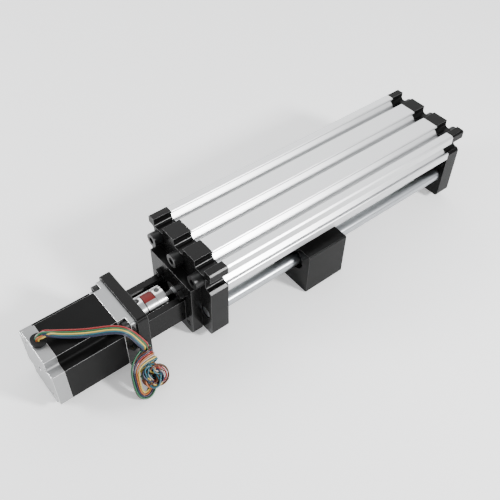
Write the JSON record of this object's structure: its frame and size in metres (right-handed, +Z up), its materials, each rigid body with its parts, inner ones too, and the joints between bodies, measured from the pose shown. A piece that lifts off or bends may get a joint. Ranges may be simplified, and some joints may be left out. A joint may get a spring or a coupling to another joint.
{
  "type": "ball screw linear module",
  "caption": "Linear module: step motor, jaw coupling and ball screw drive a carriage along two guide shafts under a T-slotted profile.",
  "frame": {"origin": "middle of the length and width, on the surface that the carriage and the motor plate stand on", "axes": "+X along the screw from the motor to the far end block, +Y away from the side the leads come down, +Z up, out of the profile's top"},
  "size_m": [0.455, 0.1246, 0.0847],
  "materials": {
    "clear_anodised": "satin clear anodised, extruded",
    "black_anodised": "satin black anodised",
    "hard_chrome": "ground and hard chromed",
    "black_oxide": "black oxide",
    "zinc_steel": "bright zinc",
    "cast_aluminium": "machined die casting",
    "lamination": "black painted lamination stack",
    "rotor_steel": "ground laminations",
    "copper_winding": "enamelled copper",
    "bearing_steel": "ground",
    "ground_steel": "ground and polished",
    "polished_aluminium": "polished",
    "spider_rubber": "moulded polyurethane",
    "wiper_plastic": "moulded",
    "black_rubber": "moulded",
    "lead_insulation": "extruded insulation in eight colours"
  },
  "bodies": {
    "frame": {"profile": "clear_anodised", "motor_end_block": "black_anodised", "far_end_block": "black_anodised", "motor_bracket": "black_anodised", "guide_shaft_near": "hard_chrome", "guide_shaft_far": "hard_chrome", "profile_screws_motor_end": "black_oxide", "profile_screws_far_end": "black_oxide", "bracket_screws": "black_oxide", "motor_screws": "black_oxide", "shaft_set_screws": "zinc_steel", "motor_front_bell": "cast_aluminium", "motor_stator": "lamination", "motor_windings": "copper_winding", "motor_rear_cap": "cast_aluminium", "motor_through_bolts": "zinc_steel", "motor_bearing_outer_rings": "bearing_steel", "fixed_bearing_outer_rings": "bearing_steel", "floating_bearing_outer_ring": "bearing_steel", "floating_bearing_retainer": "zinc_steel", "lead_grommet": "black_rubber", "lead_bundle": "lead_insulation", "lead_hank": "lead_insulation"},
    "screw": {"motor_shaft": "ground_steel", "motor_rotor": "rotor_steel", "motor_bearing_inner_rings": "bearing_steel", "motor_bearing_balls": "bearing_steel", "coupling_hub_motor": "polished_aluminium", "coupling_spider": "spider_rubber", "coupling_hub_screw": "polished_aluminium", "coupling_set_screws": "zinc_steel", "ball_screw": "ground_steel", "bearing_spacer": "bearing_steel", "lock_nut": "zinc_steel", "fixed_bearing_inner_rings": "bearing_steel", "fixed_bearing_balls": "bearing_steel", "floating_bearing_inner_ring": "bearing_steel", "floating_bearing_balls": "bearing_steel", "screw_end_circlip": "zinc_steel"},
    "carriage": {"carriage_block": "black_anodised", "ball_nut": "ground_steel", "nut_wipers": "wiper_plastic", "nut_screws": "black_oxide", "linear_bearing_near": "bearing_steel", "linear_bearing_far": "bearing_steel", "linear_bearing_seals": "black_rubber", "linear_bearing_retainers": "zinc_steel"}
  },
  "joints": [
    {"name": "screw_turn", "type": "hinge", "parent": "frame", "child": "screw", "pos_m": [-0.0815, 0, 0.0305], "axis": [1, 0, 0], "range_deg": [-12780, 7290]},
    {"name": "carriage_slide", "type": "slide", "parent": "frame", "child": "carriage", "axis": [1, 0, 0], "range_m": [-0.081, 0.142]}
  ],
  "couplings": [
    {"joint": "screw_turn", "follows": "carriage_slide", "rad_per_m": -1570.8}
  ]
}
